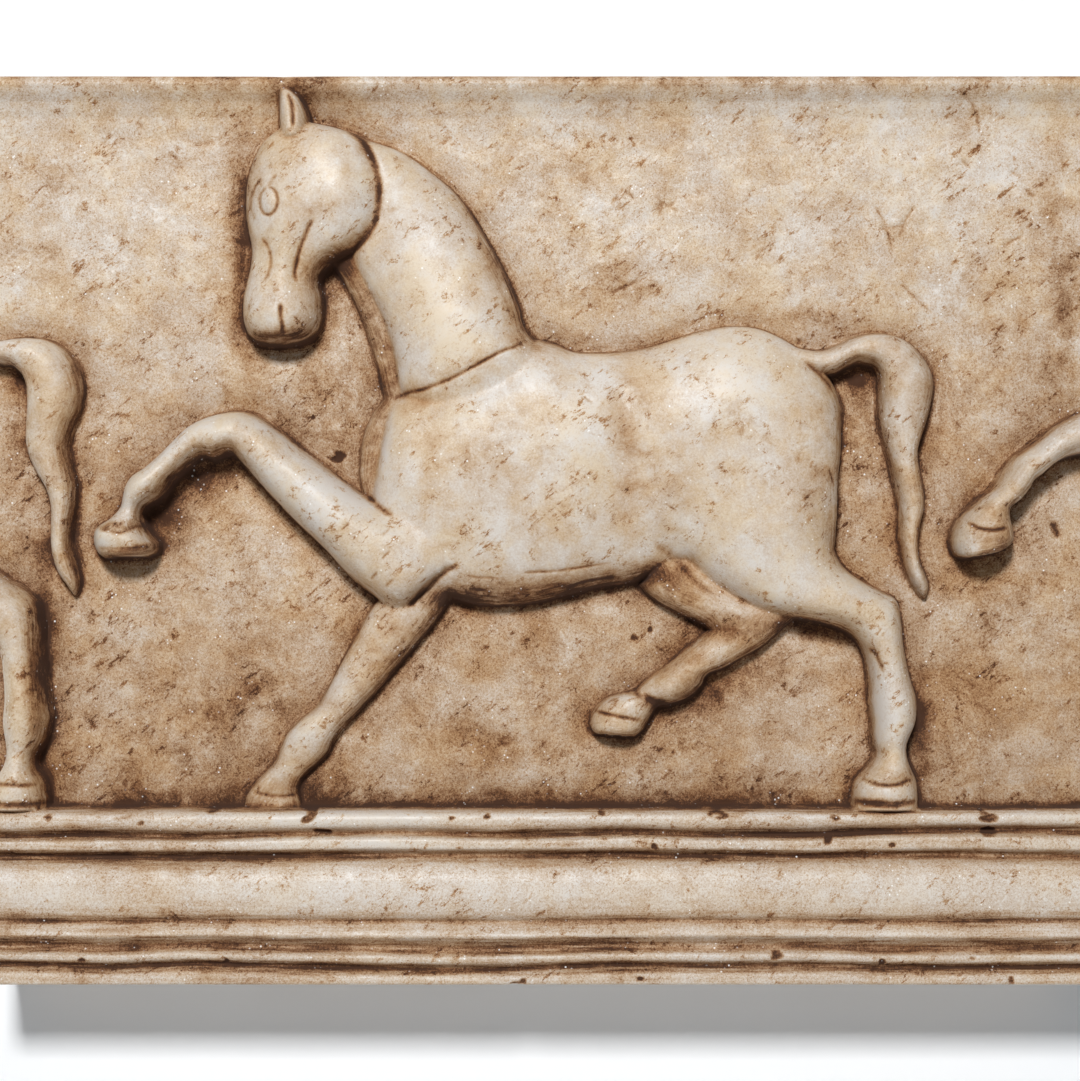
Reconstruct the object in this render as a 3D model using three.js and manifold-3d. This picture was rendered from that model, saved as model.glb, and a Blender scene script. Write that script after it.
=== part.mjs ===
// A length of carved marble frieze: a prancing horse in high relief above a run of mouldings.
// Millimetres, +Z up, the front faces -Y. The origin is the middle of the flat back face.

import * as THREE from 'three';
import { mergeVertices } from 'three/addons/utils/BufferGeometryUtils.js';
import Module from 'manifold-3d';

const wasm = await Module();
wasm.setup();

// Slab
const plaqueWidth = 362;
const plaqueHeight = 298;
const slabThickness = 26;
const fieldScoop = 1.5;

// Rolled lip along the top edge, measured forward of the field
const lipHeight = 12;
const lipProjection = 8;
const lipFall = 26;

// Horse
const horseHeight = 240;
const horsePitch = 284.5;
const reliefDepth = 20;
const rootHold = 2.5;
const rootDepth = fieldScoop + rootHold;

// Mouldings from the ledge down to the underside: heights, then how far they stand forward of the field
const beadHeight = 4.6;
const beadGroove = 2.9;
const upperFilletHeight = 3.9;
const upperGroove = 2.9;
const ovoloHeight = 19.2;
const quirkHeight = 1.4;
const slopeHeight = 4.5;
const coveHeight = 5.2;
const lowerFilletHeight = 3.3;
const lowerGroove = 2.6;
const baseFilletHeight = 4.9;
const ledgeProjection = 14;
const upperFilletProjection = 15;
const ovoloProjection = 20;
const arrisProjection = 19.6;
const lowerFilletProjection = 18.6;
const baseProjection = 19.6;
const grooveDepth = 2.4;
const coveDepth = 3;

// Carved lines: their width, and the share of it that lies in the stone
const lineWidth = 2;
const lineSink = 0.55;
const lineProud = 80;

// Fineness of the facets
const ridgeSides = 12;
const stepsPerStation = 2;
const lineSteps = 4;
const lineSides = 6;

// The front view that the horse's shares are read in: 1080 wide, x to the right and y down.
// The middle and the ledge are places in it, horse is its height from ledge to ear, and eye is how far off it is taken.
const view = { middle: [540, 540.5], ledge: 808, horse: 720, eye: 2295 };

const mouldingHeights = [
  beadHeight, beadGroove, upperFilletHeight, upperGroove, ovoloHeight, quirkHeight,
  slopeHeight, coveHeight, lowerFilletHeight, lowerGroove, baseFilletHeight,
];
const mouldingHeight = mouldingHeights.reduce((sum, height) => sum + height, 0);
const mm = horseHeight / view.horse;

// Every member of the horse is a rounded ridge between two edges. A station gives both edges, seen in the
// front view, and how proud the ridge stands there in hundredths of the relief's depth.
const horseMembers = {
  head: [
    [279, 129, 310, 122, 45], [255, 152, 350, 134, 76], [244, 185, 378, 178, 90], [243, 215, 376, 216, 92],
    [249, 243, 356, 245, 85], [248, 268, 325, 267, 78], [242, 295, 321, 294, 85], [242, 322, 320, 322, 87],
    [256, 342, 302, 342, 58], [268, 345, 290, 346, 30],
  ],
  ear: [[281, 141, 308, 137, 78], [279, 110, 308, 111, 70], [280, 93, 296, 94, 53], [282, 89, 289, 90, 30]],
  neck: [
    [330, 150, 366, 139, 50], [335, 190, 400, 150, 60], [345, 225, 430, 170, 65], [352, 262, 460, 197, 68],
    [379, 314, 505, 272, 78], [393, 360, 527, 330, 84], [400, 392, 540, 350, 78], [420, 430, 570, 390, 40],
  ],
  body: [
    [389, 401, 369, 498, 15], [398, 396, 375, 520, 55], [412, 391, 390, 556, 78], [440, 383, 415, 590, 88],
    [475, 366, 450, 598, 93], [530, 338, 510, 605, 96], [575, 350, 570, 594, 98], [640, 348, 635, 581, 93],
    [700, 330, 690, 563, 99], [735, 324, 730, 575, 100], [765, 328, 765, 585, 98], [795, 343, 800, 580, 90],
    [818, 361, 828, 560, 75], [834, 383, 836, 545, 52], [843, 408, 834, 520, 20],
  ],
  nearHindLeg: [
    [655, 470, 835, 392, 75], [664, 520, 843, 425, 92], [678, 548, 843, 458, 97], [712, 582, 833, 521, 95],
    [760, 609, 846, 567, 90], [820, 622, 884, 592, 85], [860, 643, 903, 622, 80], [870, 680, 911, 675, 75],
    [873, 722, 917, 722, 75], [876, 755, 908, 754, 68], [858, 780, 918, 780, 75], [851, 810, 920, 810, 80],
  ],
  tail: [
    [806, 345, 818, 360, 45], [838, 345, 845, 363, 50], [866, 334, 866, 363, 55], [896, 335, 878, 370, 58],
    [925, 357, 880, 389, 60], [935, 388, 880, 412, 58], [927, 424, 885, 442, 50], [919, 455, 892, 470, 48],
    [925, 492, 899, 505, 45], [921, 525, 900, 540, 40], [921, 562, 907, 572, 35], [929, 586, 918, 592, 20],
    [927, 596, 922, 598, 10],
  ],
  nearForeleg: [
    [475, 548, 412, 602, 50], [425, 522, 388, 604, 97], [380, 505, 345, 573, 100], [338, 477, 305, 532, 97],
    [298, 447, 268, 494, 92], [258, 417, 240, 462, 88], [222, 412, 214, 458, 85], [188, 425, 190, 464, 80],
    [157, 455, 170, 483, 78], [130, 474, 152, 499, 78], [116, 503, 142, 513, 73], [94, 529, 150, 531, 80],
    [92, 541, 156, 543, 82], [102, 557, 148, 555, 65],
  ],
  farForeleg: [
    [385, 590, 450, 600, 42], [357, 634, 420, 640, 42], [331, 682, 380, 687, 40], [300, 720, 344, 726, 38],
    [280, 749, 328, 753, 35], [265, 773, 304, 777, 30], [246, 797, 300, 798, 28], [243, 810, 303, 810, 30],
  ],
  farThigh: [[640, 588, 680, 545, 45], [680, 613, 732, 590, 46], [708, 628, 765, 605, 40], [728, 632, 785, 612, 20]],
  farHindLeg: [
    [745, 600, 795, 618, 40], [712, 628, 765, 645, 42], [685, 650, 725, 668, 45], [652, 675, 702, 686, 47],
    [635, 691, 670, 704, 45], [605, 700, 653, 714, 48], [590, 724, 643, 731, 50], [593, 733, 635, 737, 40],
  ],
  neckShelf: [[338, 262, 362, 262, 22], [362, 308, 382, 305, 25], [376, 352, 396, 345, 25], [386, 400, 408, 395, 25]],
  chestShelf: [[384, 400, 400, 410, 30], [361, 435, 388, 445, 30], [356, 475, 385, 482, 30], [363, 495, 388, 500, 30]],
};

// Lines cut into the horse, along points in the front view
const horseLines = {
  brow: [[262, 177], [250, 196], [253, 218]],
  noseCrease: [[262, 237], [271, 258], [262, 284]],
  jaw: [[314, 221], [300, 250], [298, 283]],
  mouth: [[282, 302], [283, 325], [284, 337]],
  earHollow: [[287, 98], [293, 112], [293, 126]],
  neckCrease: [[392, 397], [450, 379], [500, 352], [527, 338]],
  elbow: [[400, 606], [440, 573], [465, 560]],
  nearForeHoof: [[103, 530], [118, 533], [138, 526]],
  nearHindHoof: [[870, 781], [888, 785], [908, 781]],
  farForeHoof: [[256, 797], [275, 800], [292, 798]],
  farHindHoof: [[601, 713], [620, 718], [637, 722]],
};

// The line round the eye, an upright oval in the same view: its middle, its half axes and how many points it takes
const eye = { middle: [269, 201], reach: [9, 13], points: 9 };

// A point of the front view on the relief, half way up a ridge that stands proud by so many hundredths.
function onField([x, y], proud = 0) {
  const height = (proud / 100) * reliefDepth;
  const nearer = 1 - height / 2 / (view.eye * mm);
  const ledge = mouldingHeight - plaqueHeight / 2;
  const eyeLevel = ledge + (view.ledge - view.middle[1]) * mm;
  return new THREE.Vector3(
    (x - view.middle[0]) * mm * nearer,
    height,
    eyeLevel + (view.middle[1] - y) * mm * nearer,
  );
}

// A closed geometry as a solid that can be joined and cut
function solid(geometry) {
  const bare = geometry.clone();
  bare.deleteAttribute('normal');
  bare.deleteAttribute('uv');
  const merged = mergeVertices(bare, 1e-4);
  const mesh = new wasm.Mesh({
    numProp: 3,
    vertProperties: new Float32Array(merged.attributes.position.array),
    triVerts: new Uint32Array(merged.index.array),
  });
  return new wasm.Manifold(mesh);
}

function geometryOf(body) {
  const mesh = body.getMesh();
  const geometry = new THREE.BufferGeometry();
  geometry.setAttribute('position', new THREE.BufferAttribute(mesh.vertProperties.slice(), 3));
  geometry.setIndex(new THREE.BufferAttribute(mesh.triVerts.slice(), 1));
  return geometry;
}

// Turns a closed geometry the right way out when its stations ran the other way round.
function facingOut(geometry) {
  const place = geometry.attributes.position;
  const index = geometry.index;
  const [a, b, c] = [new THREE.Vector3(), new THREE.Vector3(), new THREE.Vector3()];
  let volume = 0;
  for (let i = 0; i < index.count; i += 3) {
    a.fromBufferAttribute(place, index.getX(i));
    b.fromBufferAttribute(place, index.getX(i + 1));
    c.fromBufferAttribute(place, index.getX(i + 2));
    volume += a.dot(b.cross(c));
  }
  if (volume < 0) {
    index.array.reverse();
  }
  return geometry;
}

// A rounded ridge through its stations: a closed cylinder whose rings are laid from edge to edge,
// rooted in the slab behind the field.
function ridge(stations) {
  const firstEdge = new THREE.CatmullRomCurve3(stations.map((s) => onField([s[0], s[1]], s[4])));
  const secondEdge = new THREE.CatmullRomCurve3(stations.map((s) => onField([s[2], s[3]], s[4])));
  const steps = (stations.length - 1) * stepsPerStation;
  const geometry = new THREE.CylinderGeometry(1, 1, 1, ridgeSides, steps, false, Math.PI / ridgeSides);
  const place = geometry.attributes.position;
  for (let i = 0; i < place.count; i += 1) {
    const along = THREE.MathUtils.clamp(place.getY(i) + 0.5, 0, 1);
    const across = place.getX(i);
    const up = place.getZ(i);
    const first = firstEdge.getPoint(along);
    const second = secondEdge.getPoint(along);
    const point = first.clone().lerp(second, (1 + fuller(across)) / 2);
    const forward = up > 0 ? (first.y + rootDepth) * fuller(up) : up;
    place.setXYZ(i, point.x, rootDepth - slabThickness - forward, point.z);
  }
  return facingOut(geometry);
}

// Makes a round section a little squarer, with steeper sides and a flatter crown.
function fuller(share) {
  return Math.sign(share) * Math.abs(share) ** 0.8;
}

// A function that tells how far forward a carved surface stands at a point of the field.
function surfaceOf(body) {
  const mesh = new THREE.Mesh(geometryOf(body), new THREE.MeshBasicMaterial({ side: THREE.DoubleSide }));
  const far = new THREE.Vector3(0, -4 * (slabThickness + reliefDepth), 0);
  const ray = new THREE.Raycaster();
  return (point) => {
    ray.set(new THREE.Vector3(point.x, far.y, point.z), new THREE.Vector3(0, 1, 0));
    const hits = ray.intersectObject(mesh);
    return hits.length > 0 ? hits[0].point.y : -slabThickness;
  };
}

// A round-bottomed line that follows the surface through its points.
function carvedLine(points, surface) {
  const steps = (points.length - 1) * lineSteps;
  const drawn = new THREE.CatmullRomCurve3(points.map((p) => onField(p, lineProud))).getPoints(steps);
  const depth = (lineSink - 0.5) * lineWidth;
  const onSurface = drawn.map((point) => new THREE.Vector3(point.x, surface(point) + depth, point.z));
  const section = new THREE.Shape();
  section.absarc(0, 0, lineWidth / 2, 0, 2 * Math.PI);
  return new THREE.ExtrudeGeometry(section, {
    steps,
    curveSegments: lineSides,
    extrudePath: new THREE.CatmullRomCurve3(onSurface),
  });
}

// The line round the eye stops just short of where it starts.
function eyeLine() {
  return Array.from({ length: eye.points }, (unused, i) => {
    const turn = (2 * Math.PI * (i + 0.5)) / eye.points;
    return [eye.middle[0] + eye.reach[0] * Math.sin(turn), eye.middle[1] - eye.reach[1] * Math.cos(turn)];
  });
}

function horse() {
  const members = Object.values(horseMembers).map((stations) => solid(ridge(stations)));
  let body = members.reduce((whole, member) => whole.add(member));
  const surface = surfaceOf(body);
  for (const points of [...Object.values(horseLines), eyeLine()]) {
    body = body.subtract(solid(carvedLine(points, surface)));
  }
  return body;
}

// Section through slab and mouldings: u forward from the back face, v up from the underside
function section() {
  const outline = new THREE.Shape();
  const forward = (projection) => slabThickness + projection;
  outline.moveTo(0, 0);
  outline.lineTo(forward(baseProjection), 0);
  let v = baseFilletHeight;
  outline.lineTo(forward(baseProjection), v);
  outline.quadraticCurveTo(forward(lowerFilletProjection - 2 * grooveDepth), v + lowerGroove / 2,
    forward(lowerFilletProjection), v + lowerGroove);
  v += lowerGroove;
  outline.lineTo(forward(lowerFilletProjection), v + lowerFilletHeight);
  v += lowerFilletHeight;
  outline.quadraticCurveTo(forward(arrisProjection - 2 * coveDepth), v + coveHeight / 2,
    forward(arrisProjection), v + coveHeight);
  v += coveHeight;
  outline.lineTo(forward(arrisProjection - grooveDepth), v + slopeHeight);
  v += slopeHeight + quirkHeight;
  outline.lineTo(forward(arrisProjection - grooveDepth), v);
  outline.bezierCurveTo(forward(ovoloProjection), v, forward(ovoloProjection), v + ovoloHeight * 0.6,
    forward(upperFilletProjection), v + ovoloHeight);
  v += ovoloHeight;
  outline.lineTo(forward(upperFilletProjection - grooveDepth), v + upperGroove / 2);
  outline.lineTo(forward(upperFilletProjection), v + upperGroove);
  v += upperGroove;
  outline.lineTo(forward(upperFilletProjection), v + upperFilletHeight);
  v += upperFilletHeight;
  outline.lineTo(forward(ledgeProjection - grooveDepth), v + beadGroove / 2);
  outline.lineTo(forward(ledgeProjection), v + beadGroove);
  v += beadGroove;
  outline.quadraticCurveTo(forward(ledgeProjection + beadHeight / 4), v + beadHeight / 2,
    forward(ledgeProjection - beadHeight / 4), mouldingHeight);
  outline.lineTo(forward(0), mouldingHeight);
  const lipFoot = plaqueHeight - lipHeight - lipFall;
  outline.quadraticCurveTo(forward(-2 * fieldScoop), (mouldingHeight + lipFoot) / 2, forward(0), lipFoot);
  outline.bezierCurveTo(forward(0), lipFoot + lipFall, forward(lipProjection), plaqueHeight - lipHeight,
    forward(lipProjection), plaqueHeight - lipHeight / 2);
  outline.quadraticCurveTo(forward(lipProjection), plaqueHeight, forward(lipProjection / 2), plaqueHeight);
  outline.lineTo(0, plaqueHeight);
  outline.closePath();
  return outline;
}

function slab() {
  const geometry = new THREE.ExtrudeGeometry(section(), {
    depth: plaqueWidth,
    bevelEnabled: false,
    curveSegments: 8,
  });
  const forward = new THREE.Vector3(0, -1, 0);
  const up = new THREE.Vector3(0, 0, 1);
  const along = new THREE.Vector3(-1, 0, 0);
  geometry.applyMatrix4(new THREE.Matrix4().makeBasis(forward, up, along));
  geometry.translate(plaqueWidth / 2, 0, -plaqueHeight / 2);
  return solid(geometry);
}

// The frieze runs on, so the same horse stands a pitch away on each side and the ends cut it off.
function plaque() {
  const one = horse();
  const reach = slabThickness + 2 * reliefDepth;
  const length = solid(new THREE.BoxGeometry(plaqueWidth, 2 * reach, plaqueHeight));
  let row = one;
  for (const side of [-1, 1]) {
    row = row.add(one.translate(side * horsePitch, 0, 0));
  }
  return slab().add(row.intersect(length));
}

const marble = new THREE.MeshStandardMaterial({ color: 0xcdb89c, roughness: 0.38, metalness: 0 });
const relief = new THREE.Mesh(geometryOf(plaque()), marble);
relief.name = 'relief_plaque';

const group = new THREE.Group();
group.add(relief);

export default group;
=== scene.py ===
"""Carved marble frieze panel with a prancing horse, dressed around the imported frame.

The front is carved as a field of heights over the front view, like a relief worked back from the face of
the block, then closed with plain sawn ends and back. Stations and cut lines are read in the front view,
1080 wide, x to the right and y down, and turned into millimetres by the view's own distance.
"""
import math

import bpy
import numpy as np
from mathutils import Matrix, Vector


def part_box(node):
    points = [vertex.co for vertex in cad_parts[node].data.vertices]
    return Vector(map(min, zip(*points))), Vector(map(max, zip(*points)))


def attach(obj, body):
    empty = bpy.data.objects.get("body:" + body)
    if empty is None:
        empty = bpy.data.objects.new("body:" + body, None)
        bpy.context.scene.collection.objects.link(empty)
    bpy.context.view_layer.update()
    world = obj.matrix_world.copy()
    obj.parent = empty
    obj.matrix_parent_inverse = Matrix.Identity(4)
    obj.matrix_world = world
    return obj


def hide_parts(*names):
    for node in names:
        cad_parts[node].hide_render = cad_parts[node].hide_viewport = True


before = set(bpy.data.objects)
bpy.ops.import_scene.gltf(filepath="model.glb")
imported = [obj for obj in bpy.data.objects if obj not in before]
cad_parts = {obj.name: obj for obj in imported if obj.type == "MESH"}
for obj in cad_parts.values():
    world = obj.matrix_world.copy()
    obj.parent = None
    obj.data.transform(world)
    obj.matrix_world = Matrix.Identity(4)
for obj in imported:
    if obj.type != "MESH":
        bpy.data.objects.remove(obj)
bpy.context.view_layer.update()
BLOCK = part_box("relief_plaque")

bl_info = {
    "name": "Marble relief plaque",
    "version": (1, 0, 0),
    "blender": (4, 5, 0),
    "location": "View3D > Sidebar > Relief",
    "description": "Carves and finishes a length of marble frieze with a prancing horse",
    "category": "Object",
}

MM = 0.001

# Sizes of the block, taken from the frame, in millimetres
WIDTH = (BLOCK[1][0] - BLOCK[0][0]) / MM
HEIGHT = (BLOCK[1][2] - BLOCK[0][2]) / MM
SLAB = 26.0
PROUDEST = (BLOCK[1][1] - BLOCK[0][1]) / MM - SLAB

# The front view: its middle, and its distance from the field, in view units of a third of a millimetre
VIEW_MIDDLE = (540.0, 540.5)
VIEW_UNIT = 1 / 3
VIEW_DISTANCE = 765.0
EYE_LEVEL = -4.7

# Ridges: each station is one edge (x, y), the other edge (x, y) and how proud it stands, in millimetres
HEAD = (
    (279, 129, 310, 122, 9), (262, 141, 338, 127, 13), (253, 155, 364, 136, 15.5), (247, 170, 380, 152, 17),
    (244, 185, 389, 177, 18), (243, 200, 391, 200, 18.5), (243.5, 215, 387, 217, 18.5),
    (246, 230, 378, 233, 18), (249, 243, 361, 247, 17), (249.5, 256, 340, 256, 16),
    (248, 268, 325, 267, 15.5), (245, 280, 319, 280, 16), (241.5, 295, 321, 294, 17),
    (240.5, 310, 322, 308, 18), (242, 322, 320.5, 322, 17.5), (247, 334, 313, 335, 15.5),
    (256, 342, 302, 342.5, 11), (268, 345.5, 290, 346, 5),
)
EAR = (
    (281, 141, 308, 137, 15.5), (279, 125, 310, 122, 15), (278.5, 110, 308, 111, 14),
    (278.5, 100, 303, 101, 12.5), (279.5, 93, 296, 94, 10.5), (282, 89.5, 289, 90, 6),
)
NECK = (
    (330, 150, 366, 139, 10), (335, 190, 400, 150, 12), (345, 225, 430, 170, 13),
    (352, 262, 460, 197, 13.5), (366, 290, 487, 238, 14.5), (379, 314, 505, 272, 15.5),
    (387, 336, 518, 302, 16.5), (393, 360, 527, 330, 17), (399, 390, 545, 350, 16.5),
    (420, 420, 570, 380, 13),
)
BODY = (
    (389, 401, 369, 498, 3), (398, 396, 375, 520, 11), (412, 391, 390, 556, 15.5),
    (440, 383, 415, 590, 17.5), (475, 366, 450, 598, 18.5), (505, 350, 480, 605, 19),
    (530, 338, 510, 605.5, 19.2), (552, 341, 540, 602, 19.5), (575, 350, 570, 594.5, 19.3),
    (605, 351, 600, 587, 18.4), (640, 348, 635, 581.5, 18.2), (668, 340, 662, 572, 19),
    (700, 330, 690, 563, 19.4), (735, 324, 730, 575, 19.6), (765, 328, 765, 585, 19.3),
    (795, 343, 800, 580, 18), (818, 361, 828, 560, 15), (834, 383, 836, 545, 10.5), (843, 408, 834, 520, 4),
)
NEAR_HIND_LEG = (
    (655, 470, 835, 392, 15), (664, 520, 843, 425, 18.5), (678, 548, 843, 458, 19.4),
    (694, 566, 837, 492, 19.4), (712, 582, 833, 521, 19), (735, 597, 836, 546, 18.5),
    (760, 609, 846, 567, 18), (790, 617, 864, 581, 17.5), (820, 622, 884, 592, 17),
    (845, 630, 899, 601, 16.5), (860, 643, 903, 622, 16), (867, 660, 905, 645, 15.5),
    (870, 680, 911, 675, 15), (871, 700, 918, 700, 15), (873, 722, 917, 722, 15), (874, 742, 909, 742, 14),
    (876, 755, 908, 754, 13.5), (868, 768, 912, 768, 14), (858, 780, 918, 780, 15),
    (854, 792, 920, 793, 15.5), (851, 812, 920, 812, 16),
)
TAIL = (
    (785, 344, 800, 374, 10), (803, 348, 818, 375, 10), (820, 350, 834, 374, 10),
    (838, 345, 847, 367, 10.5), (852, 338, 859, 362, 10.5), (866, 334, 866, 363, 11),
    (880, 333, 873, 365, 11.5), (896, 335, 878, 370, 11.5), (912, 343, 880, 378, 12),
    (925, 357, 880, 389, 12), (933, 372, 880, 400, 12), (935, 388, 880, 412, 11.5),
    (932, 405, 881, 425, 11), (927, 424, 885, 442, 10), (921, 442, 889, 458, 9.5),
    (919, 455, 892, 470, 9.5), (922, 475, 896, 488, 9.5), (925, 492, 899, 505, 9),
    (925, 508, 900, 522, 8.5), (921, 525, 900, 540, 8), (919, 545, 903, 556, 7.5), (921, 562, 907, 572, 7),
    (926, 575, 912, 583, 6), (929, 586, 918, 592, 4), (927, 596, 922, 598, 2),
)
NEAR_FORELEG = (
    (470, 553, 447, 572, 8), (458, 545, 432, 585, 13), (443, 532, 408, 604, 17), (425, 520, 391, 608, 18.6),
    (405, 512, 372, 596, 19.4), (380, 505, 345, 573, 19.6), (358, 492, 325, 551, 19.6),
    (338, 477, 305, 532, 19.2), (318, 462, 286, 513, 18.8), (298, 447, 268, 494, 18.4),
    (278, 431, 252, 476, 18), (258, 417, 240, 462, 17.5), (240, 411, 230, 453, 17.5),
    (222, 412, 214, 458, 17), (204, 417, 201, 456, 16.5), (188, 425, 190, 464, 16),
    (172, 440, 179, 474, 15.5), (157, 455, 170, 483, 15.5), (143, 467, 168, 487, 16),
    (131, 475, 163, 494, 16), (124.5, 485, 153, 502, 15.5), (122, 496, 146, 507, 14.5),
    (119, 507, 143, 514, 13.5), (109, 518, 144, 521, 14.5), (95, 527, 147, 529, 16),
    (91.5, 536, 152, 537, 17), (92, 545, 158, 544, 16.5), (96, 553, 156, 552, 15.5),
    (102, 557.5, 149, 556, 13),
)
FAR_FORELEG = (
    (402, 568, 466, 578, 8.5), (385, 590, 450, 600, 8.5), (370, 610, 436, 620, 8.5),
    (357, 634, 420, 640, 8.5), (344, 657, 400, 663, 8), (331, 682, 380, 687, 8), (317, 706, 360, 709, 7.5),
    (300, 720, 344, 726, 7.2), (287, 734, 333, 741, 7), (280, 749, 328, 753, 6.2),
    (275, 762, 316, 765, 5.2), (265, 773, 304, 777, 4.2), (254, 785, 299, 788, 3.6),
    (246, 797, 300, 798, 3.4), (243, 812, 303, 812, 3.4),
)
FAR_THIGH = (
    (640, 585, 680, 545, 9), (655, 600, 705, 568, 9), (680, 613, 732, 590, 9), (705, 626, 765, 605, 9),
    (722, 644, 795, 612, 8),
)
FAR_HIND_LEG = (
    (745, 600, 795, 618, 8), (727, 615, 782, 630, 8.5), (712, 628, 765, 645, 8.5),
    (700, 638, 745, 657, 8.5), (685, 650, 725, 668, 9), (668, 664, 708, 675, 9.5),
    (652, 675, 702, 686, 9.5), (641, 685, 688, 698, 9.5), (635, 691, 670, 704, 9), (620, 694, 658, 707, 9),
    (605, 700, 653, 714, 9.5), (594, 712, 648, 723, 10), (590, 724, 643, 731, 10), (593, 733, 635, 737, 8),
)
NECK_SHELF = (
    (312, 232, 380, 238, 5), (324, 252, 382, 260, 5), (344, 283, 398, 285, 5), (357, 308, 410, 305, 5),
    (366, 330, 418, 325, 4.8), (373, 352, 420, 345, 4.6), (379, 375, 424, 370, 4.4),
    (385, 402, 430, 395, 4.4),
)
CHEST_SHELF = (
    (386, 396, 425, 410, 5), (373, 413, 415, 425, 5), (364, 433, 410, 445, 5), (360, 455, 405, 465, 5),
    (359, 478, 405, 482, 5), (365, 500, 405, 500, 5),
)
LEFT_TAIL = (
    (-15, 343, -15, 362, 10.5), (5, 339, 2, 364, 11), (25, 337, 12, 366, 11.5), (45, 339, 20, 374, 12),
    (62, 348, 24, 384, 12), (74, 363, 25, 395, 12), (81, 383, 25, 408, 12), (80, 405, 24, 422, 11.5),
    (72, 425, 24, 440, 10.5), (67, 445, 28, 457, 10), (70, 465, 36, 474, 10), (75, 485, 45, 489, 10),
    (75, 505, 50, 508, 9.5), (72, 525, 50, 530, 9), (71, 545, 51, 552, 8.5), (76, 563, 57, 572, 7.5),
    (80, 580, 66, 585, 5.5), (79, 593, 74, 596, 2),
)
LEFT_HIND_LEG = (
    (-120, 617, -22, 558, 17.5), (-80, 617, 2, 578, 17.5), (-46, 622, 22, 589, 17),
    (-20, 630, 36, 603, 16.5), (-6, 643, 40, 622, 16), (0, 660, 41, 645, 15.5), (2, 680, 44, 675, 15),
    (3, 700, 47, 700, 15), (1, 722, 49, 720, 15), (4, 742, 43, 743, 14), (5, 755, 36, 755, 13.5),
    (1, 768, 36, 768, 14), (-8, 780, 43, 780, 15), (-14, 792, 46, 794, 15.5), (-17, 812, 47, 812, 16),
)
RIGHT_FORELEG = (
    (1110, 403, 1108, 450, 17), (1098, 407, 1096, 452, 17), (1078, 415, 1080, 454, 16.5),
    (1060, 424, 1064, 459, 16), (1045, 436, 1052, 467, 16), (1030, 447, 1043, 475, 15.5),
    (1016, 457, 1035, 481, 15.5), (1005, 471, 1030, 490, 15.5), (994, 487, 1022, 500, 15),
    (980, 499, 1012, 508, 15), (966, 512, 1012, 517, 15.5), (956, 526, 1015, 529, 16),
    (953, 542, 1016, 541, 16.5), (957, 555, 1005, 550, 15.5), (965, 558, 990, 554, 13),
)

# Order in which the ridges are cut, how wide the soft join to what is already there is, in millimetres, and
# how stained the ridge is. A narrow join leaves a crease, as between the cheek and the neck.
RIDGES = (
    (NECK_SHELF, 1.0, 0.42), (CHEST_SHELF, 1.0, 0.40), (FAR_FORELEG, 0.8, 0.10), (FAR_THIGH, 0.8, 0.12),
    (FAR_HIND_LEG, 0.8, 0.14), (TAIL, 0.8, 0.12), (BODY, 1.5, 0.0), (NECK, 1.2, 0.0),
    (NEAR_HIND_LEG, 5.0, 0.0), (NEAR_FORELEG, 5.0, 0.0), (HEAD, 0.6, 0.0), (EAR, 1.0, 0.0),
    (LEFT_TAIL, 0.8, 0.12), (LEFT_HIND_LEG, 0.8, 0.05), (RIGHT_FORELEG, 0.8, 0.05),
)

# Soft swellings and hollows of the figure: middle (x, y), half width and half height in view units, height in
# millimetres, turn in degrees
SWELLS = (
    (347, 193, 32, 42, 1.5, 0), (268, 201, 9, 13, 1.0, 0), (266, 179, 15, 6, 0.6, 20),
    (282, 322, 32, 18, 1.1, 0), (308, 246, 11, 28, -1.3, -18), (262, 258, 9, 22, -0.6, 0),
    (283, 258, 8, 34, 0.7, 0), (302, 150, 30, 14, 0.5, 0), (252, 312, 6, 8, 0.5, 0),
    (624, 440, 15, 100, -1.0, 0), (470, 470, 50, 60, 0.4, 0), (740, 420, 50, 60, 0.5, 0),
    (575, 470, 30, 80, 0.5, 0), (664, 548, 26, 20, -0.9, -35), (835, 600, 30, 12, 0.4, 25),
    (400, 585, 18, 18, 0.6, 0), (400, 505, 26, 14, -0.9, -35), (671, 687, 15, 11, 2.2, 25),
    (653, 702, 7, 9, -1.6, 30), (895, 704, 17, 20, 0.9, 0), (892, 752, 20, 9, -0.8, 0),
    (888, 774, 24, 8, 0.7, 0), (141, 483, 15, 11, 1.2, 30), (128, 508, 16, 7, -0.9, 10),
    (322, 742, 12, 12, 0.6, 0), (302, 728, 16, 14, 0.7, 45), (222, 432, 18, 16, 0.6, 0),
    (21, 704, 17, 20, 0.9, 0), (20, 752, 20, 9, -0.8, 0), (1030, 470, 13, 12, 0.9, 30),
)

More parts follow.
